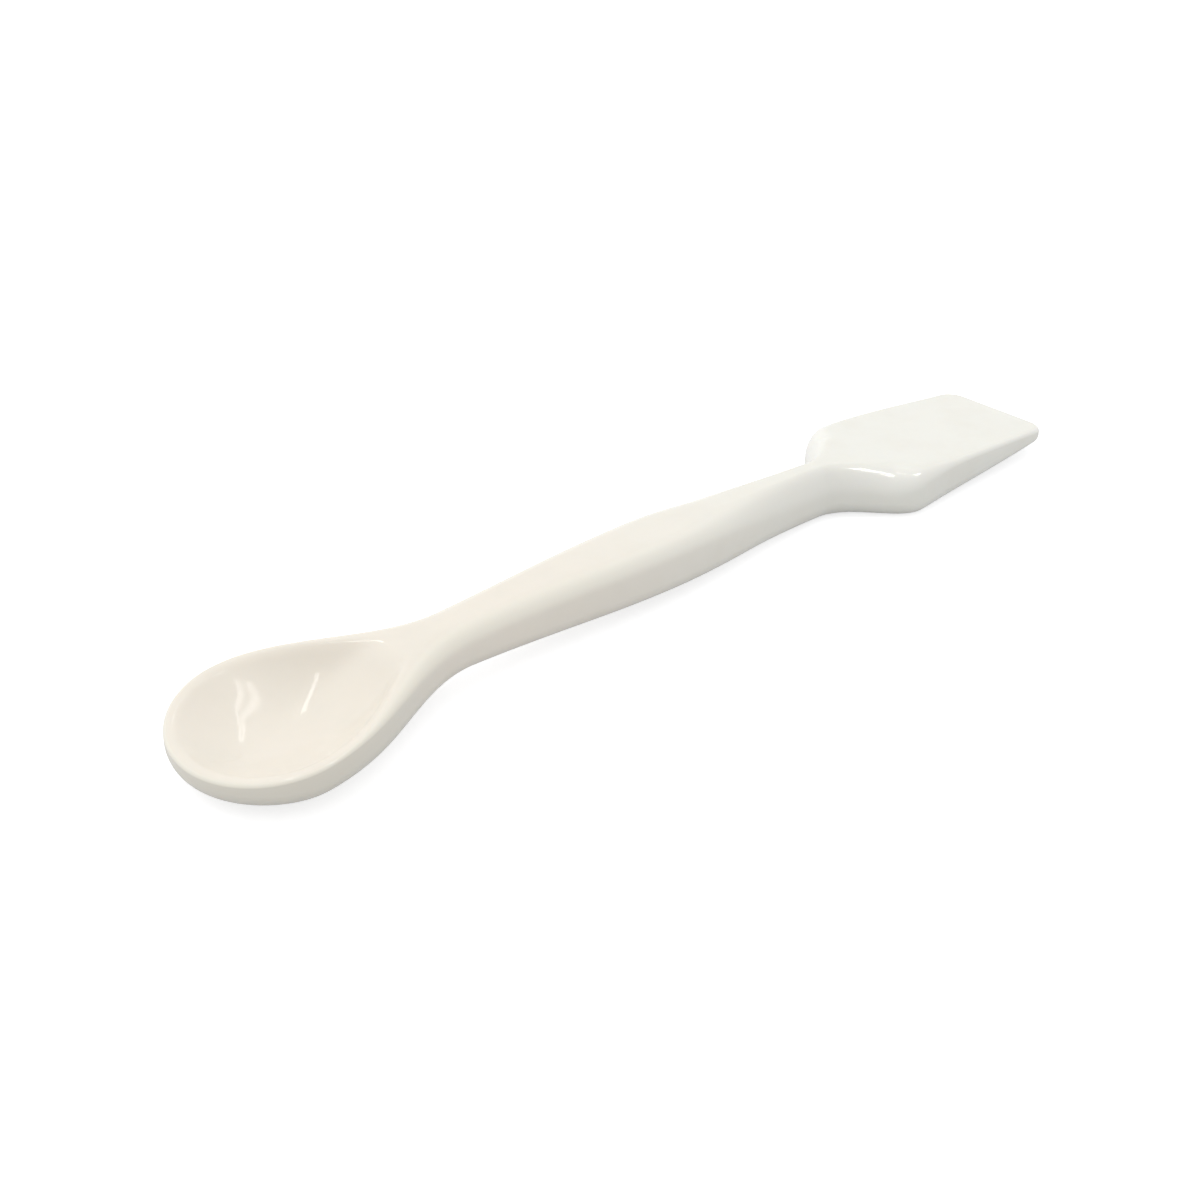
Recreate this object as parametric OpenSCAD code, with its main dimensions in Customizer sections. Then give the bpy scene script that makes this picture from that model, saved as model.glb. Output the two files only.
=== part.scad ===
// Porcelain spoon spatula, cast in one piece and lying as it rests on a bench.
// The spoon's tip points to -X, the blade's end to +X, and the bench is at Z = 0.

/* [Overall] */
// Length from the tip of the spoon to the end of the blade
overall_length = 150; // [130:1:220]

/* [Spoon] */
// Width across the rim where the spoon is widest
spoon_width = 26.8; // [22:0.2:36]
// Distance from the tip to the widest place of the spoon
spoon_nose = 11.7; // [10:0.1:18]
// Distance from the tip to the narrowest place of the neck
spoon_length = 39.5; // [36:0.5:52]
// Depth of the hollow below the rim where the spoon is widest
bowl_depth = 4.3; // [3:0.1:7]
// Thickness of the floor under the hollow
bowl_floor = 2.9; // [1.4:0.1:4]
// Distance from the tip to the far end of the hollow
bowl_length = 29; // [26:0.1:35]
// Width of the rim between the outline and the hollow
rim_width = 1.2; // [0.8:0.1:3]
// How much lower the rim is at the tip than at the widest place
rim_droop = 2; // [0.5:0.1:3]
// Height of the upright wall under the rim at the tip
tip_wall = 1.3; // [1:0.1:2]
// Height of the upright wall under the rim at the widest place
side_wall = 2.4; // [2:0.1:4]

/* [Handle] */
// Width of the neck behind the spoon
spoon_neck_width = 7.9; // [6:0.1:12]
// Thickness of the neck behind the spoon
spoon_neck_thickness = 6.5; // [5:0.1:9]
// Width of the handle at its middle
handle_width = 10.7; // [9:0.1:16]
// Thickness of the handle at its middle
handle_thickness = 7.9; // [5:0.1:10]
// Width of the neck in front of the blade
blade_neck_width = 5.4; // [5:0.1:12]
// Thickness of the neck in front of the blade
blade_neck_thickness = 8.1; // [5:0.1:10]
// Height of the handle's underside above the bench at the spoon's neck
neck_lift = 2.8; // [0.5:0.05:4]
// Depth of the faint hollow along the middle of the underside
under_hollow = 0.2; // [0.1:0.05:0.5]

/* [Blade] */
// Length of the blade from its heel to its end
blade_length = 31.4; // [22:0.1:40]
// Length of the shoulders between the neck and the blade's heel
shoulder_length = 12.8; // [9:0.1:18]
// Length of the flat foot that the blade's heel rests on
foot_length = 3; // [1:0.5:6]
// Width of the blade at its heel
blade_width = 22.3; // [17:0.1:30]
// Width of the blade at its end
blade_end_width = 18.8; // [14:0.2:24]
// Thickness of the blade at its heel
heel_thickness = 7.3; // [5:0.1:9]
// Thickness of the blade at its end
blade_end_thickness = 2.1; // [1.7:0.1:3.5]
// Height of the blade's underside above the bench at its end
blade_end_lift = 2; // [0.5:0.1:3]
// Radius of the blade's corners seen from above
blade_corner_radius = 3; // [2:0.1:5]

/* [Edges] */
// Rounding of the rim's outer edge
rim_edge = 0.5; // [0.4:0.05:0.9]
// Rounding of the handle's upper edges
handle_edge = 2.6; // [0.8:0.1:4]
// Rounding of the blade neck's upper edges
neck_edge = 5.2; // [1.2:0.1:6]
// Rounding of the upper edges at the blade's heel
heel_edge = 2.5; // [0.6:0.1:3.5]
// Rounding of the upper edges at the blade's end
blade_edge = 0.75; // [0.4:0.05:0.9]
// Rounding of the handle's lower edges
under_edge = 2.5; // [1:0.1:4]
// Rounding of the lower edges at the blade's end
blade_under_edge = 1.1; // [0.4:0.05:1.6]
// Rounding between the rim and the hollow
hollow_edge = 0.5; // [0.3:0.05:1]
// Rounding where the hollow runs out into the neck
hollow_end_edge = 1.4; // [0.5:0.1:4]

/* [Hidden] */
porcelain = [0.96, 0.945, 0.905];

// Places along the length
tip_x = -overall_length / 2;
end_x = overall_length / 2;
wide_x = tip_x + spoon_nose;
hollow_x = tip_x + bowl_length;
spoon_neck_x = tip_x + spoon_length;
heel_x = end_x - blade_length;
foot_x = heel_x - foot_length;
blade_neck_x = heel_x - shoulder_length;
middle_x = (spoon_neck_x + blade_neck_x) / 2;

// Fans of ribs that close the two ends, and where they meet the middle line
nose_spine = 0.3 * spoon_nose;
fan_length = 0.55 * blade_end_width;
fan_x = end_x - fan_length;
side_spine = fan_x + 0.24 * fan_length;
corner_spine = fan_x + 0.33 * fan_length;
end_spine = fan_x + 0.6 * fan_length;

// Form of the hollow: how flat its floor is and how square its outline is at the neck
hollow_power = 2.1;
hollow_corner = 5;

// Highest that the hollow's form is followed past its outline, in depths
rise_limit = 3;

// Share of a rib that the round underside of the bowl takes up
bowl_round = 0.92;

// Largest shares that a rounding takes up: across, of a rib's depth,
// in height, of the thickness for an upper one and of what that leaves for a lower one
edge_width_share = 0.7;
upper_height_share = 0.6;
lower_height_share = 0.9;

// How late the soft edge of the shoulders turns into the edge of the heel,
// and how soon that one turns into the sharper edge of the blade
heel_power = 3;
heel_fade = 6;

// Share of the blade's length over which its taper starts
taper_start = 0.05;

// Least shares of a rib that the flat rim and the hollow keep, and how its points spread
rim_least = 0.06;
hollow_least = 0.5;
hollow_spread = 0.4;

// Numbers of ribs and of points along a rib
nose_ribs = 14;
spoon_ribs = 26;
handle_ribs = 26;
shoulder_ribs = 16;
blade_ribs = 10;
fan_ribs = 5;
corner_ribs = 6;
end_ribs = 7;
under_steps = 6;
edge_steps = 4;
rim_steps = 2;
hollow_steps = 8;

function mix(a, b, t) = a + (b - a) * t;
function ease(t) = (1 - cos(180 * min(max(t, 0), 1))) / 2;
function share(x, a, b) = (x - a) / (b - a);

// Cubic between two places with given heights and slopes
function cubic(x, a, b, za, zb, sa, sb) =
    let (t = share(x, a, b), d = b - a)
    za * (1 + 2 * t) * pow(1 - t, 2) + zb * t * t * (3 - 2 * t)
    + d * (sa * t * pow(1 - t, 2) - sb * t * t * (1 - t));

// Slope at the middle of three places
function slope(xs, zs, i) =
    let (d0 = xs[i] - xs[i - 1], d1 = xs[i + 1] - xs[i])
    ((zs[i] - zs[i - 1]) / d0 * d1 + (zs[i + 1] - zs[i]) / d1 * d0) / (d0 + d1);

// Underside beside its hollow: round bowl, straight handle, flat foot, rising blade
function bottom(x) =
    x < spoon_neck_x ? neck_lift * ease(share(x, wide_x, spoon_neck_x)) :
    x < foot_x ? neck_lift * share(x, foot_x, spoon_neck_x) :
    x < heel_x ? 0 :
    blade_end_lift * share(x, heel_x, end_x);

// Upper side: drooping rim, arched handle, flat sloping blade
rim_height = bowl_floor + bowl_depth;
blade_slope = (blade_end_lift + blade_end_thickness - heel_thickness) / blade_length;
top_x = [tip_x, wide_x, spoon_neck_x, middle_x, blade_neck_x, heel_x];
top_z = [
    rim_height - rim_droop,
    rim_height,
    bottom(spoon_neck_x) + spoon_neck_thickness,
    bottom(middle_x) + handle_thickness,
    bottom(blade_neck_x) + blade_neck_thickness,
    heel_thickness
];
top_last = len(top_x) - 1;
tip_slope = 2 * rim_droop / spoon_nose - slope(top_x, top_z, 1);
top_slope = [
    for (i = [0:top_last])
        i == 0 ? tip_slope : i == top_last ? blade_slope : slope(top_x, top_z, i)
];
function span(x, i = 1) = i >= top_last || x < top_x[i] ? i : span(x, i + 1);
function top(x) =
    x >= heel_x ? heel_thickness + blade_slope * (x - heel_x) :
    let (i = span(x))
    cubic(x, top_x[i - 1], top_x[i], top_z[i - 1], top_z[i], top_slope[i - 1], top_slope[i]);

// Taper of the blade, which starts softly after the heel
function soft_start(t) = norm([t, taper_start]) - taper_start;
function taper(t) = soft_start(t) / soft_start(1);

// Half the width of the outline behind the spoon's widest place
function half_width(x) =
    x < spoon_neck_x ?
        mix(spoon_width, spoon_neck_width, ease(share(x, wide_x, spoon_neck_x))) / 2 :
    x < middle_x ?
        mix(spoon_neck_width, handle_width, ease(share(x, spoon_neck_x, middle_x))) / 2 :
    x < blade_neck_x ?
        mix(handle_width, blade_neck_width, ease(share(x, middle_x, blade_neck_x))) / 2 :
    x < heel_x ?
        mix(blade_neck_width, blade_width, ease(share(x, blade_neck_x, heel_x))) / 2 :
    mix(blade_width, blade_end_width, taper(share(x, heel_x, end_x))) / 2;

// Roundings along the length, and how far they reach up or down the wall that limits them
function thickness(x) = top(x) - bottom(x);
function upper_round(x) =
    x < wide_x ? rim_edge :
    x < spoon_neck_x ? mix(rim_edge, handle_edge, ease(share(x, wide_x, spoon_neck_x))) :
    x < middle_x ? handle_edge :
    x < blade_neck_x ? mix(handle_edge, neck_edge, ease(share(x, middle_x, blade_neck_x))) :
    x < heel_x ? mix(neck_edge, heel_edge, pow(share(x, blade_neck_x, heel_x), heel_power)) :
    mix(blade_edge, heel_edge, pow(share(x, end_x, heel_x), heel_fade));
function upper_drop(x) = min(upper_round(x), upper_height_share * thickness(x));
function lower_round(x) =
    x < heel_x ? under_edge : mix(under_edge, blade_under_edge, ease(share(x, heel_x, end_x)));
function lower_rise(x) =
    min(lower_round(x), lower_height_share * (thickness(x) - upper_drop(x)));

// How far a place has passed from bowl to handle
function handle_share(x) = ease(share(x, wide_x, spoon_neck_x));

// Top of the round underside, where the upright wall starts
function wall_foot(x) =
    mix(
        top(x) - mix(tip_wall, side_wall, ease(share(x, tip_x, wide_x))),
        bottom(x) + lower_rise(x),
        handle_share(x)
    );

// Outline and middle line of each rib: nose, spoon, handle, shoulders, blade, end
function nose_rib(t) = [
    [wide_x - spoon_nose * cos(90 * t), spoon_width / 2 * sin(90 * t)],
    [wide_x - nose_spine * (1 - t), 0]
];
function straight_rib(x) = [[x, half_width(x)], [x, 0]];
corner_x = end_x - blade_corner_radius;
corner_y = half_width(corner_x) - blade_corner_radius;
function fan_rib(t) =
    let (x = mix(fan_x, corner_x, t))
    [[x, half_width(x)], [mix(fan_x, side_spine, t), 0]];
function corner_rib(t) = [
    [corner_x + blade_corner_radius * sin(90 * t), corner_y + blade_corner_radius * cos(90 * t)],
    [mix(side_spine, corner_spine, t), 0]
];
function end_rib(t) = [[end_x, corner_y * (1 - t)], [mix(corner_spine, end_spine, t), 0]];

ribs = [
    for (i = [0:nose_ribs - 1]) nose_rib(i / nose_ribs),
    for (i = [0:spoon_ribs - 1]) straight_rib(mix(wide_x, spoon_neck_x, i / spoon_ribs)),
    for (i = [0:handle_ribs - 1]) straight_rib(mix(spoon_neck_x, blade_neck_x, i / handle_ribs)),
    for (i = [0:shoulder_ribs - 1]) straight_rib(mix(blade_neck_x, heel_x, i / shoulder_ribs)),
    for (i = [0:blade_ribs - 1]) straight_rib(mix(heel_x, fan_x, i / blade_ribs)),
    for (i = [0:fan_ribs - 1]) fan_rib(i / fan_ribs),
    for (i = [0:corner_ribs - 1]) corner_rib(i / corner_ribs),
    for (i = [0:end_ribs]) end_rib(i / end_ribs)
];
rib_count = len(ribs);

// Direction square to the outline, pointing inwards
function mirrored(p) = [p[0], -p[1]];
function inward(i) =
    let (
        before = i == 0 ? mirrored(ribs[1][0]) : ribs[i - 1][0],
        after = i == rib_count - 1 ? mirrored(ribs[rib_count - 2][0]) : ribs[i + 1][0],
        along = (after - before) / norm(after - before)
    )
    [along[1], -along[0]];

// Depth of a rib square to the outline, and the place at a share u of that depth:
// below, a rib leaves the outline squarely and bends to its place on the middle line,
// above, it crosses the rounded edge squarely and then runs straight to the middle line
function reach(i) = (ribs[i][1] - ribs[i][0]) * inward(i);
function square_place(i, u) = ribs[i][0] + inward(i) * reach(i) * u;
function under_place(i, u) = square_place(i, u) + (ribs[i][1] - square_place(i, 1)) * u * u;
function top_place(i, u, edge_u) =
    mix(square_place(i, edge_u), ribs[i][1], share(u, edge_u, 1));

// Lower of two heights, with a rounded meeting
function soft_lower(a, b, k) =
    let (h = min(max(0.5 + 0.5 * (b - a) / k, 0), 1))
    mix(b, a, h) - k * h * (1 - h);

// Upper side with the spoon's hollow, where r is 1 at the rim and 0 at the middle
function end_share(x) = max(share(x, wide_x, hollow_x), 0);
function hollow_top(x, r) =
    let (
        from_floor = pow(pow(r, hollow_corner) + pow(end_share(x), hollow_corner), 1 / hollow_corner),
        rise = min(pow(from_floor, hollow_power), rise_limit),
        hollow = mix(bowl_floor, top(x), rise),
        meeting = mix(hollow_edge, hollow_end_edge, ease(share(x, wide_x, hollow_x)))
    )
    soft_lower(top(x), hollow, meeting);

// Points of a rib from the middle of the underside, round the edge, to the middle of the top
function keel_point(i) =
    let (x = ribs[i][1][0])
    [x, 0, bottom(x) + under_hollow * handle_share(x)];
function under_point(i, u, rise) =
    let (p = under_place(i, u), foot = wall_foot(ribs[i][0][0]))
    [p[0], p[1], mix(bottom(p[0]), max(foot, bottom(p[0])), rise)];
function edge_point(i, a, edge_u) =
    let (p = square_place(i, edge_u * (1 - cos(a))))
    [p[0], p[1], top(p[0]) - upper_drop(ribs[i][0][0]) * (1 - sin(a))];
function top_point(i, u, edge_u, rim_u) =
    let (p = top_place(i, u, edge_u))
    [p[0], p[1], hollow_top(p[0], (1 - u) / (1 - rim_u))];

function rib_section(i) =
    let (
        x = ribs[i][0][0],
        lower_u = min(lower_round(x) / reach(i), edge_width_share),
        edge_u = min(upper_round(x) / reach(i), edge_width_share),
        round = mix(bowl_round, lower_u, handle_share(x)),
        rim_u = max(rim_width / reach(i), mix(edge_u, 1, rim_least)),
        follow = pow(max(1 - pow(end_share(x), hollow_corner), 0), 1 / hollow_corner),
        lip_u = 1 - max(follow, hollow_least) * (1 - rim_u)
    )
    [
        keel_point(i),
        for (k = [0:under_steps])
            let (a = 90 * k / under_steps)
            under_point(i, round * (1 - sin(a)), 1 - cos(a)),
        for (k = [0:edge_steps]) edge_point(i, 90 * k / edge_steps, edge_u),
        for (k = [1:rim_steps]) top_point(i, mix(edge_u, lip_u, k / rim_steps), edge_u, rim_u),
        for (k = [1:hollow_steps])
            let (s = k / hollow_steps, spread = mix(hollow_spread, 1, handle_share(x)))
            top_point(i, mix(lip_u, 1, mix(s * s, s, spread)), edge_u, rim_u)
    ];

// Both halves share the points that lie on the middle plane
sections = [for (i = [0:rib_count - 1]) rib_section(i)];
row = len(sections[0]);
function shared(i, j) = i == 0 || i == rib_count - 1 || j == 0 || j == row - 1;
function near_index(i, j) = i * row + j;
function far_index(i, j) =
    shared(i, j) ? near_index(i, j) : rib_count * row + (i - 1) * (row - 2) + j - 1;

skin_points = [
    for (i = [0:rib_count - 1]) for (j = [0:row - 1]) sections[i][j],
    for (i = [1:rib_count - 2]) for (j = [1:row - 2])
        [sections[i][j][0], -sections[i][j][1], sections[i][j][2]]
];
// Each four-sided patch is cut along the diagonal that leaves the middle plane
function cut(a, b, c, d, other) = other ? [[a, b, d], [b, c, d]] : [[a, b, c], [a, c, d]];
function other_cut(i, j) = (i < rib_count / 2) == (j > row / 2);
skin_faces = [
    for (i = [0:rib_count - 2]) for (j = [0:row - 2])
        each concat(
            cut(
                near_index(i, j), near_index(i + 1, j),
                near_index(i + 1, j + 1), near_index(i, j + 1), other_cut(i, j)
            ),
            cut(
                far_index(i + 1, j), far_index(i, j),
                far_index(i, j + 1), far_index(i + 1, j + 1), !other_cut(i, j)
            )
        )
];

module spatula() {
    color(porcelain)
        polyhedron(points = skin_points, faces = skin_faces, convexity = 6);
}

spatula();
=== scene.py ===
# Glazed porcelain spoon spatula, lying on a pale floor under soft studio light.
# The spoon's tip points to -X, the blade's end to +X, and the floor is at Z = 0.
import math

import bpy
import numpy as np
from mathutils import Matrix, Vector


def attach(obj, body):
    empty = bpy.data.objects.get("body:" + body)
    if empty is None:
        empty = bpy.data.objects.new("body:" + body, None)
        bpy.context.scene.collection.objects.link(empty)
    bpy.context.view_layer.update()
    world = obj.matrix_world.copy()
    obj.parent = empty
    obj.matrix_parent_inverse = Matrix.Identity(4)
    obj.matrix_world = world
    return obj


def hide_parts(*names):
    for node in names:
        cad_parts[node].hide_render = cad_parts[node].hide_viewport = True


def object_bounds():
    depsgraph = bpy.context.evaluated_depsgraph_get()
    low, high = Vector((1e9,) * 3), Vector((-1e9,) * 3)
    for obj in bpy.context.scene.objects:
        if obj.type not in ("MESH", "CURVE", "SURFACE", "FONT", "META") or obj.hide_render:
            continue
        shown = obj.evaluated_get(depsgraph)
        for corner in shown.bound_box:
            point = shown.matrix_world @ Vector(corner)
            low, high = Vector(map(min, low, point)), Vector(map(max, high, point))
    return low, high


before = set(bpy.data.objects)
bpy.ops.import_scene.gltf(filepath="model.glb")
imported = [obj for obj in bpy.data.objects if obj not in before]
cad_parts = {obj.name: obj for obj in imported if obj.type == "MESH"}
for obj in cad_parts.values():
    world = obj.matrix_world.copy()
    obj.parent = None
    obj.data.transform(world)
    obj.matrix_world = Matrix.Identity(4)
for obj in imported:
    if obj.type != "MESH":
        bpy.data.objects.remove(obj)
cad_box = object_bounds()

MILLIMETRE = 0.001

# Lengths and widths of the casting, in millimetres
LENGTH = 150.0
SPOON_WIDTH = 26.8
SPOON_NOSE = 11.7
SPOON_LENGTH = 39.5
BOWL_DEPTH = 4.3
BOWL_FLOOR = 2.9
BOWL_LENGTH = 29.0
RIM_WIDTH = 1.2
RIM_DROOP = 2.0
TIP_WALL = 1.3
SIDE_WALL = 2.4
SPOON_NECK_WIDTH = 7.9
SPOON_NECK_THICKNESS = 6.5
HANDLE_WIDTH = 10.7
HANDLE_THICKNESS = 7.9
BLADE_NECK_WIDTH = 5.4
BLADE_NECK_THICKNESS = 8.1
NECK_LIFT = 2.8
UNDER_HOLLOW = 0.2
BLADE_LENGTH = 31.4
SHOULDER_LENGTH = 12.8
FOOT_LENGTH = 3.0
BLADE_WIDTH = 22.3
BLADE_END_WIDTH = 18.8
HEEL_THICKNESS = 7.3
BLADE_END_THICKNESS = 2.1
BLADE_END_LIFT = 2.0
BLADE_CORNER_RADIUS = 3.0

# Roundings of the edges, in millimetres
RIM_EDGE = 0.5
HANDLE_EDGE = 2.6
NECK_EDGE = 5.2
HEEL_EDGE = 2.5
BLADE_EDGE = 0.75
UNDER_EDGE = 2.5
BLADE_UNDER_EDGE = 1.1
HOLLOW_EDGE = 0.5
HOLLOW_END_EDGE = 1.4

# Places along the length
TIP_X = -LENGTH / 2
END_X = LENGTH / 2
WIDE_X = TIP_X + SPOON_NOSE
HOLLOW_X = TIP_X + BOWL_LENGTH
SPOON_NECK_X = TIP_X + SPOON_LENGTH
HEEL_X = END_X - BLADE_LENGTH
FOOT_X = HEEL_X - FOOT_LENGTH
BLADE_NECK_X = HEEL_X - SHOULDER_LENGTH
MIDDLE_X = (SPOON_NECK_X + BLADE_NECK_X) / 2
CORNER_X = END_X - BLADE_CORNER_RADIUS

# Fans of ribs that close the two ends, and where they meet the middle line
NOSE_SPINE = 0.3 * SPOON_NOSE
FAN_LENGTH = 0.55 * BLADE_END_WIDTH
FAN_X = END_X - FAN_LENGTH
SIDE_SPINE = FAN_X + 0.24 * FAN_LENGTH
CORNER_SPINE = FAN_X + 0.33 * FAN_LENGTH
END_SPINE = FAN_X + 0.6 * FAN_LENGTH

# Form of the hollow, and shares of a rib that its rounded parts take up
HOLLOW_POWER = 2.1
HOLLOW_CORNER = 5.0
RISE_LIMIT = 3.0
BOWL_ROUND = 0.92
EDGE_WIDTH_SHARE = 0.7
UPPER_HEIGHT_SHARE = 0.6
LOWER_HEIGHT_SHARE = 0.9
HEEL_POWER = 3.0
HEEL_FADE = 6.0
TAPER_START = 0.05
RIM_LEAST = 0.06
HOLLOW_LEAST = 0.5
HOLLOW_SPREAD = 0.4

# Numbers of ribs in each stretch and of points along a rib
NOSE_RIBS = 60
SPOON_RIBS = 110
HANDLE_RIBS = 64
SHOULDER_RIBS = 60
BLADE_RIBS = 60
FAN_RIBS = 14
CORNER_RIBS = 16
END_RIBS = 14
KEEL_STEPS = 4
UNDER_STEPS = 24
EDGE_STEPS = 12
RIM_STEPS = 8
HOLLOW_STEPS = 34


def mix(a, b, t):
    return a + (b - a) * t


def share(x, a, b):
    return (x - a) / (b - a)


def ease(t):
    return (1 - np.cos(np.pi * np.clip(t, 0, 1))) / 2


def eased(x, start, end, from_value, to_value):
    """Value that passes smoothly from one size to the next between two places."""
    return mix(from_value, to_value, ease(share(x, start, end)))


def bottom(x):
    """Underside beside its hollow: round bowl, straight handle, flat foot, rising blade."""
    bowl = eased(x, WIDE_X, SPOON_NECK_X, 0, NECK_LIFT)
    handle = NECK_LIFT * share(x, FOOT_X, SPOON_NECK_X)
    blade = BLADE_END_LIFT * share(x, HEEL_X, END_X)
    return np.select([x < SPOON_NECK_X, x < FOOT_X, x < HEEL_X], [bowl, handle, 0 * x], blade)


# Places, heights and slopes that the upper side passes through, up to the blade's heel
RIM_HEIGHT = BOWL_FLOOR + BOWL_DEPTH
BLADE_SLOPE = (BLADE_END_LIFT + BLADE_END_THICKNESS - HEEL_THICKNESS) / BLADE_LENGTH
top_x = np.array([TIP_X, WIDE_X, SPOON_NECK_X, MIDDLE_X, BLADE_NECK_X, HEEL_X])
top_z = np.array([
    RIM_HEIGHT - RIM_DROOP,
    RIM_HEIGHT,
    bottom(SPOON_NECK_X) + SPOON_NECK_THICKNESS,
    bottom(MIDDLE_X) + HANDLE_THICKNESS,
    bottom(BLADE_NECK_X) + BLADE_NECK_THICKNESS,
    HEEL_THICKNESS,
])
run = np.diff(top_x)
pitch = np.diff(top_z) / run
inner_slope = (pitch[:-1] * run[1:] + pitch[1:] * run[:-1]) / (run[:-1] + run[1:])
tip_slope = 2 * RIM_DROOP / SPOON_NOSE - inner_slope[0]
top_slope = np.concatenate([[tip_slope], inner_slope, [BLADE_SLOPE]])


def top(x):
    """Upper side: drooping rim, arched handle, flat sloping blade."""
    after = np.clip(np.searchsorted(top_x, x, side="right"), 1, len(top_x) - 1)
    before = after - 1
    length = top_x[after] - top_x[before]
    t = (x - top_x[before]) / length
    heights = top_z[before] * (1 + 2 * t) * (1 - t) ** 2 + top_z[after] * t * t * (3 - 2 * t)
    slopes = top_slope[before] * t * (1 - t) ** 2 - top_slope[after] * t * t * (1 - t)
    blade = HEEL_THICKNESS + BLADE_SLOPE * (x - HEEL_X)
    return np.where(x < HEEL_X, heights + length * slopes, blade)


def soft_start(t):
    return np.hypot(t, TAPER_START) - TAPER_START


def half_width(x):
    """Half the width of the outline behind the spoon's widest place."""
    spoon = eased(x, WIDE_X, SPOON_NECK_X, SPOON_WIDTH, SPOON_NECK_WIDTH)
    front = eased(x, SPOON_NECK_X, MIDDLE_X, SPOON_NECK_WIDTH, HANDLE_WIDTH)
    back = eased(x, MIDDLE_X, BLADE_NECK_X, HANDLE_WIDTH, BLADE_NECK_WIDTH)
    shoulder = eased(x, BLADE_NECK_X, HEEL_X, BLADE_NECK_WIDTH, BLADE_WIDTH)
    blade = mix(BLADE_WIDTH, BLADE_END_WIDTH, soft_start(share(x, HEEL_X, END_X)) / soft_start(1))
    stretch = [x < SPOON_NECK_X, x < MIDDLE_X, x < BLADE_NECK_X, x < HEEL_X]
    return np.select(stretch, [spoon, front, back, shoulder], blade) / 2


def thickness(x):
    return top(x) - bottom(x)


def upper_round(x):
    """Rounding of the upper edges along the length."""
    spoon = eased(x, WIDE_X, SPOON_NECK_X, RIM_EDGE, HANDLE_EDGE)
    handle = eased(x, MIDDLE_X, BLADE_NECK_X, HANDLE_EDGE, NECK_EDGE)
    late = np.clip(share(x, BLADE_NECK_X, HEEL_X), 0, 1) ** HEEL_POWER
    shoulder = mix(NECK_EDGE, HEEL_EDGE, late)
    blade = mix(BLADE_EDGE, HEEL_EDGE, np.clip(share(x, END_X, HEEL_X), 0, 1) ** HEEL_FADE)
    stretch = [x < SPOON_NECK_X, x < BLADE_NECK_X, x < HEEL_X]
    return np.select(stretch, [spoon, handle, shoulder], blade)


def upper_drop(x):
    """How far the upper rounding reaches down the wall."""
    return np.minimum(upper_round(x), UPPER_HEIGHT_SHARE * thickness(x))


def lower_round(x):
    """Rounding of the lower edges along the length."""
    return eased(x, HEEL_X, END_X, UNDER_EDGE, BLADE_UNDER_EDGE)


def lower_rise(x):
    """How far the lower rounding reaches up the wall."""
    return np.minimum(lower_round(x), LOWER_HEIGHT_SHARE * (thickness(x) - upper_drop(x)))


def handle_share(x):
    """How far a place has passed from bowl to handle."""
    return ease(share(x, WIDE_X, SPOON_NECK_X))


def wall_foot(x):
    """Top of the round underside, where the upright wall starts."""
    bowl = top(x) - eased(x, TIP_X, WIDE_X, TIP_WALL, SIDE_WALL)
    return mix(bowl, bottom(x) + lower_rise(x), handle_share(x))


def end_share(x):
    """How far a place has passed from the spoon's widest place to the hollow's far end."""
    return np.maximum(share(x, WIDE_X, HOLLOW_X), 0)


def soft_lower(a, b, k):
    """Lower of two heights, with a rounded meeting."""
    h = np.clip(0.5 + 0.5 * (b - a) / k, 0, 1)
    return mix(b, a, h) - k * h * (1 - h)


def hollow_top(x, r):
    """Upper side with the spoon's hollow, where r is 1 at the rim and 0 at the middle."""
    squared = np.maximum(r, 0) ** HOLLOW_CORNER + end_share(x) ** HOLLOW_CORNER
    rise = squared ** (HOLLOW_POWER / HOLLOW_CORNER)
    hollow = mix(BOWL_FLOOR, top(x), np.minimum(rise, RISE_LIMIT))
    meeting = eased(x, WIDE_X, HOLLOW_X, HOLLOW_EDGE, HOLLOW_END_EDGE)
    return soft_lower(top(x), hollow, meeting)


def steps(count):
    """Shares of a stretch at which its ribs stand, with the last left to the next stretch."""
    return np.arange(count) / count


def straight_ribs(start, end, count):
    x = mix(start, end, steps(count))
    return x, half_width(x), x


def rib_lines():
    """Outline and middle line of each rib: nose, spoon, handle, shoulders, blade, end."""
    quarter = math.pi / 2
    nose = steps(NOSE_RIBS)
    fan = steps(FAN_RIBS)
    fan_x = mix(FAN_X, CORNER_X, fan)
    corner = steps(CORNER_RIBS)
    corner_y = half_width(CORNER_X) - BLADE_CORNER_RADIUS
    end = np.linspace(0, 1, END_RIBS + 1)
    stretches = [
        (
            WIDE_X - SPOON_NOSE * np.cos(quarter * nose),
            SPOON_WIDTH / 2 * np.sin(quarter * nose),
            WIDE_X - NOSE_SPINE * (1 - nose),
        ),
        straight_ribs(WIDE_X, SPOON_NECK_X, SPOON_RIBS),
        straight_ribs(SPOON_NECK_X, BLADE_NECK_X, HANDLE_RIBS),
        straight_ribs(BLADE_NECK_X, HEEL_X, SHOULDER_RIBS),
        straight_ribs(HEEL_X, FAN_X, BLADE_RIBS),
        (fan_x, half_width(fan_x), mix(FAN_X, SIDE_SPINE, fan)),
        (
            CORNER_X + BLADE_CORNER_RADIUS * np.sin(quarter * corner),
            corner_y + BLADE_CORNER_RADIUS * np.cos(quarter * corner),
            mix(SIDE_SPINE, CORNER_SPINE, corner),
        ),
        (np.full(END_RIBS + 1, END_X), corner_y * (1 - end), mix(CORNER_SPINE, END_SPINE, end)),
    ]
    x, y, middle = (np.concatenate(parts) for parts in zip(*stretches))
    return np.column_stack([x, y]), np.column_stack([middle, 0 * middle])


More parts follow.
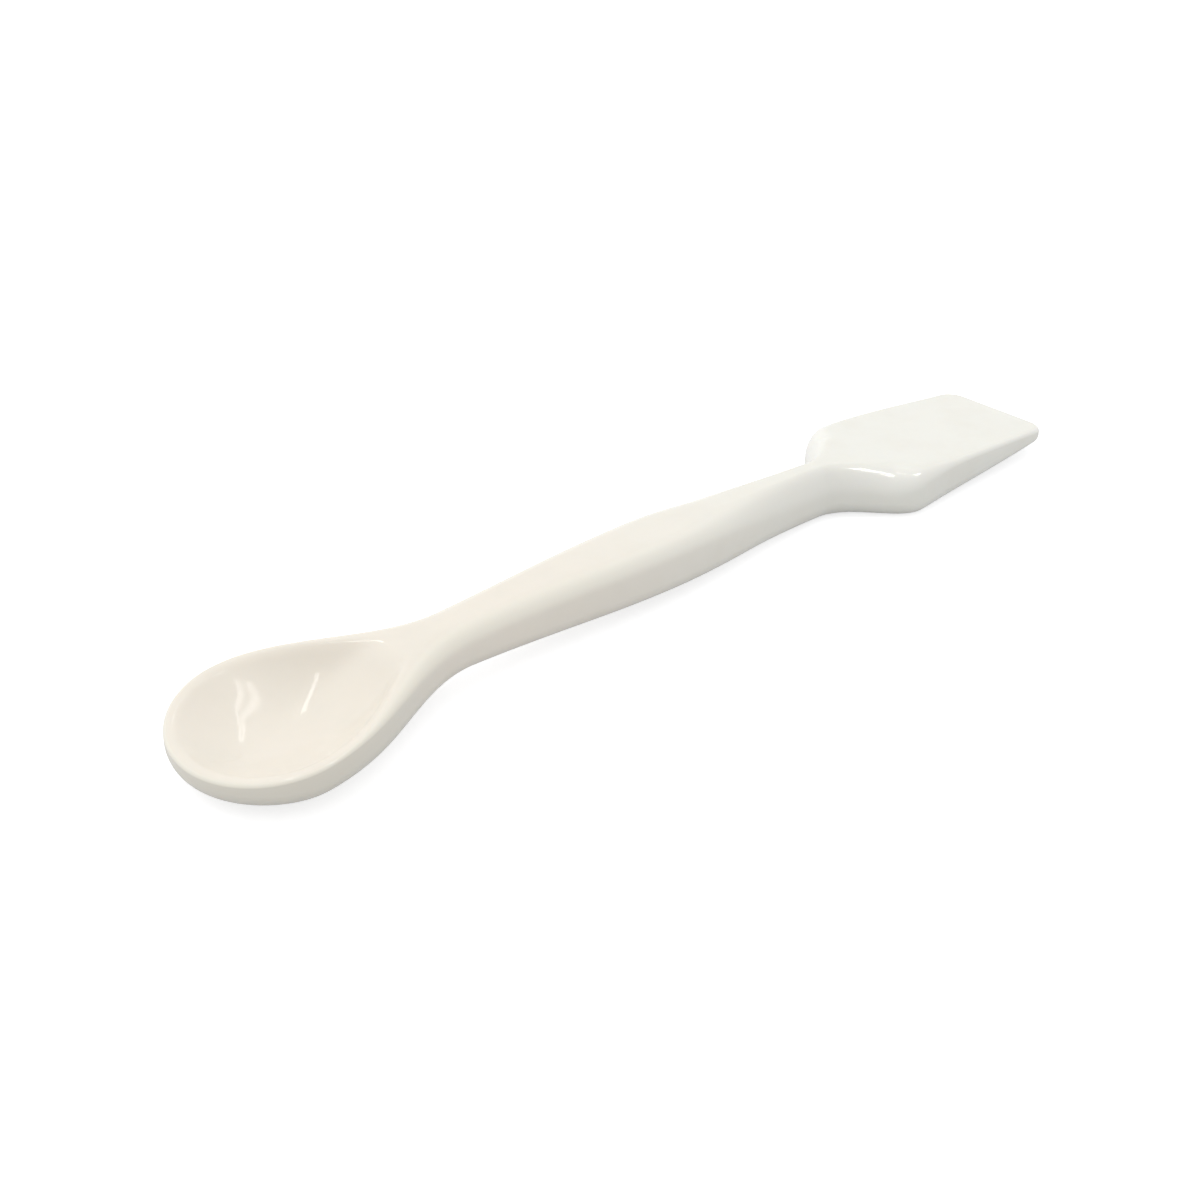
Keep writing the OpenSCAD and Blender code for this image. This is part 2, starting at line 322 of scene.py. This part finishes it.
def inward(outline):
    """Direction square to the outline at each rib, pointing inwards."""
    mirrored = np.array([1, -1])
    before = np.vstack([outline[1] * mirrored, outline[:-1]])
    after = np.vstack([outline[1:], outline[-2] * mirrored])
    along = after - before
    along = along / np.linalg.norm(along, axis=1, keepdims=True)
    return np.column_stack([along[:, 1], -along[:, 0]])


def skin_grid():
    """Points of the skin on one side of the middle plane, by rib and by place along the rib,
    from the middle of the underside, round the edge, to the middle of the top.
    Also how much of each place is rounded edge, which the glaze runs off as it melts and where a
    highlight is painted paler, and how much of it is outer wall and underside, where shade is painted
    darker on the spoon."""
    outline, spine = rib_lines()
    square = inward(outline)
    reach = np.sum((spine - outline) * square, axis=1)
    x = outline[:, 0]
    foot = wall_foot(x)
    passed = handle_share(x)
    under_round = mix(BOWL_ROUND, np.minimum(lower_round(x) / reach, EDGE_WIDTH_SHARE), passed)
    drop = upper_drop(x)
    edge_u = np.minimum(upper_round(x) / reach, EDGE_WIDTH_SHARE)
    rim_u = np.maximum(RIM_WIDTH / reach, mix(edge_u, 1, RIM_LEAST))
    follow = np.maximum(1 - end_share(x) ** HOLLOW_CORNER, 0) ** (1 / HOLLOW_CORNER)
    lip_u = 1 - np.maximum(follow, HOLLOW_LEAST) * (1 - rim_u)
    spread = mix(HOLLOW_SPREAD, 1, passed)
    rows = []
    shares = []

    def square_place(u):
        return outline + square * (reach * u)[:, None]

    def add(place, height, thin_and_highlight_share=0.0, shaded_wall_share=0.0):
        rows.append(np.column_stack([place, height]))
        shares.append(np.full((len(x), 2), (thin_and_highlight_share, shaded_wall_share)))

    def add_under(u, rise, hollow=0.0):
        place = square_place(u) + (spine - square_place(np.ones(len(x)))) * (u * u)[:, None]
        floor = bottom(place[:, 0]) + hollow * UNDER_HOLLOW * handle_share(place[:, 0])
        add(place, mix(floor, np.maximum(foot, floor), rise), shaded_wall_share=1.0)

    def add_top(u):
        start = square_place(edge_u)
        place = mix(start, spine, share(u, edge_u, 1)[:, None])
        add(place, hollow_top(place[:, 0], (1 - u) / (1 - rim_u)))

    for keel in steps(KEEL_STEPS):
        add_under(mix(1, under_round, keel), 0, (1 - keel ** 2) ** 2)
    for angle in np.linspace(0, math.pi / 2, UNDER_STEPS + 1):
        add_under(under_round * (1 - math.sin(angle)), 1 - math.cos(angle))
    for angle in np.linspace(0, math.pi / 2, EDGE_STEPS + 1):
        place = square_place(edge_u * (1 - math.cos(angle)))
        height = top(place[:, 0]) - drop * (1 - math.sin(angle))
        add(place, height, math.sin(2 * angle), math.cos(angle) ** 2)
    for t in np.linspace(0, 1, RIM_STEPS + 1)[1:]:
        add_top(mix(edge_u, lip_u, t))
    for t in np.linspace(0, 1, HOLLOW_STEPS + 1)[1:]:
        add_top(mix(lip_u, 1, mix(t * t, t, spread)))
    return np.stack(rows, axis=1), np.stack(shares, axis=1)


def mirrored_skin(grid, shares):
    """Vertices, faces, and shares of rounded edge (thin glaze and painted highlight) and of outer wall
    (painted shade) of both halves, joined along the middle plane.
    """
    ribs, row = shares.shape[:2]
    near = np.arange(ribs * row).reshape(ribs, row)
    far = near.copy()
    inside = np.s_[1:-1, 1:-1]
    far[inside] = ribs * row + np.arange((ribs - 2) * (row - 2)).reshape(ribs - 2, row - 2)
    points = np.vstack([
        grid.reshape(-1, 3),
        (grid[inside] * np.array([1, -1, 1])).reshape(-1, 3),
    ])
    both = np.vstack([shares.reshape(-1, 2), shares[inside].reshape(-1, 2)])

    def patches(index, order):
        corners = [index[:-1, :-1], index[1:, :-1], index[1:, 1:], index[:-1, 1:]]
        return np.stack([corners[k] for k in order], axis=-1).reshape(-1, 4)

    faces = np.vstack([patches(near, (3, 2, 1, 0)), patches(far, (0, 1, 2, 3))])
    return points, faces, both


# Uneven skin that the mould and the fire leave: depth of its slow waves in millimetres,
# then for each wave its radians per millimetre along X, Y and Z, and its phase
WAVE_DEPTH = 0.05
WAVES = (
    ((0.21, 0.16, 0.31), 0.4),
    ((-0.34, 0.29, 0.22), 2.1),
    ((0.13, -0.47, 0.38), 4.4),
)


def cast_waves(points):
    """Share of the waves' depth at each point, between 0 and 1."""
    swell = np.zeros(len(points))
    for direction, phase in WAVES:
        swell += np.sin(points @ np.array(direction) + phase)
    return 0.5 + 0.5 * swell / len(WAVES)


def make_spatula():
    points, faces, shares = mirrored_skin(*skin_grid())
    mesh = bpy.data.meshes.new("spatula_glazed")
    mesh.from_pydata((points * MILLIMETRE).tolist(), [], faces.tolist())
    mesh.validate()
    normals = np.empty(len(points) * 3)
    mesh.vertex_normals.foreach_get("vector", normals)
    sunk = points - normals.reshape(-1, 3) * (WAVE_DEPTH * cast_waves(points))[:, None]
    mesh.vertices.foreach_set("co", (sunk * MILLIMETRE).ravel())
    # Shares of rounded edge (thin glaze and painted highlight) and of outer wall (painted shade)
    for name, values in zip(("thin_glaze_and_highlight", "outer_wall_shade"), shares.T):
        mesh.attributes.new(name, "FLOAT", "POINT").data.foreach_set("value", values.copy())
    mesh.polygons.foreach_set("use_smooth", np.ones(len(mesh.polygons), dtype=bool))
    mesh.update()
    piece = bpy.data.objects.new("spatula_glazed", mesh)
    bpy.context.scene.collection.objects.link(piece)
    return piece


class Field:
    """A number that varies over a surface. Arithmetic on it adds Math nodes to its tree."""

    def __init__(self, tree, socket):
        self.tree = tree
        self.socket = socket

    def combine(self, operation, first, second):
        made = self.tree.node("ShaderNodeMath", {"operation": operation}, {0: first, 1: second})
        return Field(self.tree, made.outputs[0])

    def __add__(self, other):
        return self.combine("ADD", self, other)

    def __sub__(self, other):
        return self.combine("SUBTRACT", self, other)

    def __rsub__(self, other):
        return self.combine("SUBTRACT", other, self)

    def __mul__(self, other):
        return self.combine("MULTIPLY", self, other)

    def __or__(self, other):
        return self.combine("MAXIMUM", self, other)

    __radd__ = __add__
    __rmul__ = __mul__


# Numbers of the Mix node's colour sockets, whose names other sockets of the node share
MIX_COLOUR_FIRST = 6
MIX_COLOUR_SECOND = 7
MIX_COLOUR_RESULT = 2


class Tree:
    """Node tree of a material or of the world, emptied and filled again."""

    def __init__(self, owner):
        owner.use_nodes = True
        self.nodes = owner.node_tree.nodes
        self.links = owner.node_tree.links
        self.nodes.clear()

    def node(self, kind, settings=None, sockets=None):
        made = self.nodes.new(kind)
        for name, value in (settings or {}).items():
            setattr(made, name, value)
        for name, value in (sockets or {}).items():
            if isinstance(value, Field):
                value = value.socket
            if isinstance(value, bpy.types.NodeSocket):
                self.links.new(value, made.inputs[name])
            else:
                made.inputs[name].default_value = value
        return made

    def field(self, kind, output, settings=None, sockets=None):
        return Field(self, self.node(kind, settings, sockets).outputs[output])

    def blend(self, amount, first, second):
        """Colour that passes from the first to the second as the amount goes from 0 to 1."""
        made = self.node(
            "ShaderNodeMix",
            {"data_type": "RGBA"},
            {"Factor": amount, MIX_COLOUR_FIRST: first, MIX_COLOUR_SECOND: second},
        )
        return made.outputs[MIX_COLOUR_RESULT]

    def ramp(self, value, low, high):
        """Amount that goes from 0 to 1 as a field goes from low to high, eased at both ends."""
        return self.field(
            "ShaderNodeMapRange",
            "Result",
            {"interpolation_type": "SMOOTHSTEP"},
            {"Value": value, "From Min": low, "From Max": high},
        )

    def noise(self, place, scale, detail, roughness=0.5):
        return self.field(
            "ShaderNodeTexNoise",
            "Fac",
            None,
            {"Vector": place, "Scale": scale, "Detail": detail, "Roughness": roughness},
        )


# Colours of the glaze: creamy at the spoon, whiter at the blade, paler on rounded edges where it thins
# and as a painted highlight, and deeper in random clouds and as painted shade on the spoon's outer
# wall and underside
CREAM_GLAZE = (0.885, 0.830, 0.738, 1)
WHITE_GLAZE = (0.872, 0.870, 0.808, 1)
THIN_GLAZE_HIGHLIGHT_CREAM = (0.952, 0.915, 0.810, 1)
THIN_GLAZE_HIGHLIGHT_WHITE = (0.948, 0.942, 0.885, 1)
DEEP_GLAZE_AND_SHADE = (0.800, 0.768, 0.680, 1)

# Places along the length, in metres, where the glaze turns from cream to white,
# how far that change wanders, and where the painted shade on the spoon's outer wall fades out
CREAM_END = -0.045
WHITE_START = 0.050
CHANGE_WANDER = 0.03
SHADED_WALL_END = -0.055
UNSHADED_WALL_START = -0.035

# Patterns in the glaze: scale of each per metre, and how much of it shows
NOISE_MIDDLE = 0.5
DRIFT_SCALE = 38
CLOUD_SCALE = 130
CLOUD_ROUGHNESS = 0.6
CLOUD_LOW = 0.35
CLOUD_HIGH = 0.8
CLOUD_DEPTH = 0.30
THIN_AND_HIGHLIGHT_LOW = 0.1
THIN_AND_HIGHLIGHT_HIGH = 0.9
THIN_AND_HIGHLIGHT_PALENESS = 0.80
RIPPLE_SCALE = 160
PEEL_SCALE = 900
PEEL_SHARE = 0.12
RELIEF_STRENGTH = 0.35
RELIEF_HEIGHT = 0.0001

# Gloss of the glaze, and the light that passes a little way into the porcelain
GLAZE_IOR = 1.5
BASE_ROUGHNESS = 0.34
CLOUD_ROUGHENING = 0.14
BASE_SPECULAR = 0.2
COAT_WEIGHT = 0.46
THIN_COAT_LOSS = 0.05
COAT_ROUGHNESS = 0.05
INNER_LIGHT = 0.12
INNER_LIGHT_COLOURS = (1.0, 0.85, 0.65)
INNER_LIGHT_REACH = 0.0015


def porcelain():
    material = bpy.data.materials.new("glazed_porcelain")
    tree = Tree(material)
    place = tree.node("ShaderNodeTexCoord").outputs["Object"]
    along = tree.field("ShaderNodeSeparateXYZ", "X", None, {0: place})
    thin_and_highlight = tree.field("ShaderNodeAttribute", "Fac", {"attribute_name": "thin_glaze_and_highlight"})
    wall = tree.field("ShaderNodeAttribute", "Fac", {"attribute_name": "outer_wall_shade"})

    # Tone of the glaze, drifting along the length and clouded where it pooled,
    # with painted shade on the spoon's outer wall and underside, and rounded edges paler as thin glaze
    # and painted highlight
    drift = tree.noise(place, DRIFT_SCALE, detail=2)
    firing = tree.ramp(along + (drift - NOISE_MIDDLE) * CHANGE_WANDER, CREAM_END, WHITE_START)
    mottle = tree.noise(place, CLOUD_SCALE, detail=4, roughness=CLOUD_ROUGHNESS)
    clouds = tree.ramp(mottle, CLOUD_LOW, CLOUD_HIGH)
    handle = tree.ramp(along, SHADED_WALL_END, UNSHADED_WALL_START)
    # Painted shade: the spoon's outer wall and underside are blended to the deeper tone, together with
    # random clouds
    clouds_and_shade = clouds * CLOUD_DEPTH | wall * (1 - handle)
    # Painted highlight: rounded edges are made paler, partly as glaze that thins there
    paleness_and_highlight = tree.ramp(thin_and_highlight, THIN_AND_HIGHLIGHT_LOW, THIN_AND_HIGHLIGHT_HIGH) * THIN_AND_HIGHLIGHT_PALENESS
    tone = tree.blend(firing, CREAM_GLAZE, WHITE_GLAZE)
    tone = tree.blend(clouds_and_shade, tone, DEEP_GLAZE_AND_SHADE)
    tone = tree.blend(paleness_and_highlight, tone, tree.blend(firing, THIN_GLAZE_HIGHLIGHT_CREAM, THIN_GLAZE_HIGHLIGHT_WHITE))

    # Skin of the glaze: slow ripples, and a fine orange peel
    ripple = tree.noise(place, RIPPLE_SCALE, detail=1)
    peel = tree.noise(place, PEEL_SCALE, detail=2)
    bump = tree.node(
        "ShaderNodeBump",
        None,
        {
            "Strength": RELIEF_STRENGTH,
            "Distance": RELIEF_HEIGHT,
            "Height": ripple + peel * PEEL_SHARE,
        },
    )
    shader = tree.node(
        "ShaderNodeBsdfPrincipled",
        None,
        {
            "Base Color": tone,
            "Roughness": BASE_ROUGHNESS + CLOUD_ROUGHENING * clouds,
            "IOR": GLAZE_IOR,
            "Specular IOR Level": BASE_SPECULAR,
            "Coat Weight": COAT_WEIGHT - THIN_COAT_LOSS * thin_and_highlight,
            "Coat Roughness": COAT_ROUGHNESS,
            "Coat IOR": GLAZE_IOR,
            "Subsurface Weight": INNER_LIGHT,
            "Subsurface Radius": INNER_LIGHT_COLOURS,
            "Subsurface Scale": INNER_LIGHT_REACH,
            "Normal": bump.outputs[0],
        },
    )
    tree.node("ShaderNodeOutputMaterial", None, {"Surface": shader.outputs[0]})
    return material


spatula = make_spatula()
spatula.data.materials.append(porcelain())
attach(spatula, "root")
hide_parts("spatula")

# Camera at the photograph's viewing angle
CAMERA_AZIMUTH = math.radians(-42.41)
CAMERA_ELEVATION = math.radians(29.87)
CAMERA_DISTANCE = 0.24585
CAMERA_TARGET = Vector((-0.01563, -0.00508, 0.00606))
CAMERA_LENS = 57.0
CAMERA_SENSOR = 36.0
CAMERA_NEAREST = 0.01
CAMERA_FARTHEST = 20


def make_camera():
    data = bpy.data.cameras.new("photo_view")
    data.lens = CAMERA_LENS
    data.sensor_width = CAMERA_SENSOR
    data.clip_start = CAMERA_NEAREST
    data.clip_end = CAMERA_FARTHEST
    camera = bpy.data.objects.new("photo_view", data)
    bpy.context.scene.collection.objects.link(camera)
    back = Vector((
        math.sin(CAMERA_AZIMUTH) * math.cos(CAMERA_ELEVATION),
        -math.cos(CAMERA_AZIMUTH) * math.cos(CAMERA_ELEVATION),
        math.sin(CAMERA_ELEVATION),
    ))
    camera.location = CAMERA_TARGET + back * CAMERA_DISTANCE
    camera.rotation_euler = (-back).to_track_quat("-Z", "Y").to_euler()
    bpy.context.scene.camera = camera


# Floor, and how much white is added to what the camera and what gloss and glass see of it
FLOOR_SIZE = 8.0
FLOOR_COLOUR = (0.63, 0.635, 0.65, 1)
FLOOR_WHITE = 0.68
FLOOR_MIRRORED_WHITE = 0.28


def seen_by(tree):
    """1 for rays from the camera, and 1 for rays by which gloss and glass show their surroundings."""
    path = tree.node("ShaderNodeLightPath").outputs
    camera, glossy, clear = (
        Field(tree, path[name])
        for name in ("Is Camera Ray", "Is Glossy Ray", "Is Transmission Ray")
    )
    return camera, glossy | clear


def make_floor(height):
    half = FLOOR_SIZE / 2
    corners = [(x, y, height) for x, y in ((-half, -half), (half, -half), (half, half), (-half, half))]
    mesh = bpy.data.meshes.new("floor")
    mesh.from_pydata(corners, [], [(0, 1, 2, 3)])
    floor = bpy.data.objects.new("floor", mesh)
    bpy.context.scene.collection.objects.link(floor)
    material = bpy.data.materials.new("pale_floor")
    tree = Tree(material)
    matt = tree.node("ShaderNodeBsdfDiffuse", None, {"Color": FLOOR_COLOUR})
    camera, mirrored = seen_by(tree)
    level = camera * FLOOR_WHITE | mirrored * FLOOR_MIRRORED_WHITE
    white = tree.node("ShaderNodeEmission", None, {"Strength": level})
    both = tree.node("ShaderNodeAddShader", None, {0: matt.outputs[0], 1: white.outputs[0]})
    tree.node("ShaderNodeOutputMaterial", None, {"Surface": both.outputs[0]})
    mesh.materials.append(material)


# Even light of the room on the object, and the white that is seen behind it
ROOM_LIGHT = 0.80


def light_room():
    world = bpy.data.worlds.new("white_room")
    bpy.context.scene.world = world
    tree = Tree(world)
    camera, mirrored = seen_by(tree)
    level = ROOM_LIGHT + (1 - ROOM_LIGHT) * (camera | mirrored)
    room = tree.node("ShaderNodeBackground", None, {"Color": (1, 1, 1, 1), "Strength": level})
    tree.node("ShaderNodeOutputWorld", None, {"Surface": room.outputs[0]})


def add_panel(name, place, aim, width, length, brightness, colour, turn=0.0):
    """Flat lamp that faces a point or, without one, hangs level with a turn about the vertical.
    Brightness 1 would look white if it were seen."""
    data = bpy.data.lights.new(name, "AREA")
    data.shape = "RECTANGLE"
    data.size = width
    data.size_y = length
    data.energy = brightness * math.pi * width * length
    data.color = colour
    lamp = bpy.data.objects.new(name, data)
    bpy.context.scene.collection.objects.link(lamp)
    lamp.location = place
    if aim is None:
        lamp.rotation_euler = (0, 0, turn)
    else:
        lamp.rotation_euler = (Vector(place) - Vector(aim)).to_track_quat("Z", "Y").to_euler()
    return lamp


# Colours of the small lamps and of the soft panel
LAMP_COLOUR = (1, 0.99, 0.97)
PANEL_COLOUR = (1, 0.985, 0.96)

# Straight strip lamps overhead that draw the streaks in the bowl: a close pair, and a broad one.
# They hang at one height and all run the same way, turned from the Y axis.
# They act on gloss alone.
STRIP_HEIGHT = 0.5
STRIP_TURN = math.radians(-27)
STRIP_LENGTH = 0.6
PAIR_MIDDLE = Vector((0.15, 0.14))
PAIR_GAP = 0.015
PAIR_WIDTH = 0.008
BROAD_MIDDLE = Vector((-0.07, 0.20))
BROAD_WIDTH = 0.03
STRIP_BRIGHTNESS = 7.0

# Small lamp in front that draws the glint on the blade's shoulder, and acts on gloss alone
FRONT_PLACE = (0.07, -0.26, 0.5)
FRONT_WIDTH = 0.11
FRONT_LENGTH = 0.14
FRONT_BRIGHTNESS = 15.0

# Large soft panel overhead, a little behind the object, that lights the form and isn't mirrored
PANEL_AIM = (0, 0, 0)
PANEL_PLACE = (0.0, 0.60, 0.90)
PANEL_WIDTH = 1.3
PANEL_LENGTH = 1.0
PANEL_BRIGHTNESS = 1.02


def light_object():
    sideways = Vector((math.cos(STRIP_TURN), math.sin(STRIP_TURN))) * PAIR_GAP / 2
    strips = (
        ("strip_left", PAIR_MIDDLE - sideways, PAIR_WIDTH),
        ("strip_right", PAIR_MIDDLE + sideways, PAIR_WIDTH),
        ("strip_broad", BROAD_MIDDLE, BROAD_WIDTH),
    )
    for name, middle, width in strips:
        strip = add_panel(
            name, (*middle, STRIP_HEIGHT), None,
            width, STRIP_LENGTH, STRIP_BRIGHTNESS, LAMP_COLOUR, STRIP_TURN,
        )
        strip.visible_diffuse = False
    front = add_panel(
        "front_lamp", FRONT_PLACE, None,
        FRONT_WIDTH, FRONT_LENGTH, FRONT_BRIGHTNESS, LAMP_COLOUR,
    )
    front.visible_diffuse = False
    panel = add_panel(
        "soft_panel", PANEL_PLACE, PANEL_AIM,
        PANEL_WIDTH, PANEL_LENGTH, PANEL_BRIGHTNESS, PANEL_COLOUR,
    )
    panel.visible_glossy = False


make_camera()
make_floor(cad_box[0].z)
light_room()
light_object()
bpy.context.scene.view_settings.view_transform = "Standard"
